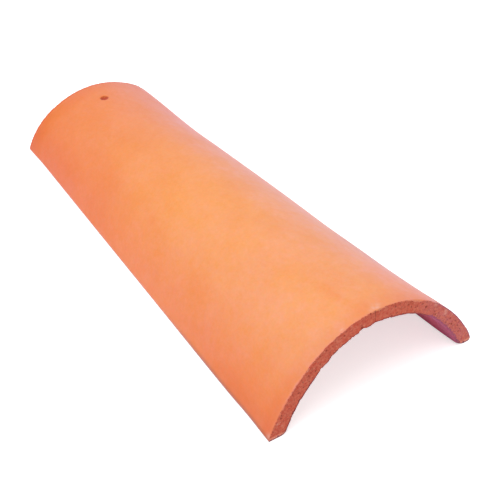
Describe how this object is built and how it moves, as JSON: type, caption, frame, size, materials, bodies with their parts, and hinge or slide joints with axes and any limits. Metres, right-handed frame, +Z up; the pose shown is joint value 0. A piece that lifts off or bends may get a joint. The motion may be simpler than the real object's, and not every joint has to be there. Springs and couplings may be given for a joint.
{
  "type": "clay barrel roof tile",
  "caption": "Tapered arched clay roof tile that lies crown up on its two long edges, with a nail hole near its narrow head end.",
  "frame": {"origin": "on the floor, under the middle of the tile's length and width", "axes": "+Z up through the crown, -Y towards the wide butt end, +Y towards the narrow head end with the nail hole, +X to the right as seen from the butt end"},
  "size_m": [0.1926, 0.457, 0.0794],
  "materials": {
    "fired_clay": "matt unglazed orange terracotta, smooth on its outer face, with a redder, pitted clay body at its cut ends"
  },
  "bodies": {
    "root": {"barrel_tile": "fired_clay"}
  },
  "joints": []
}
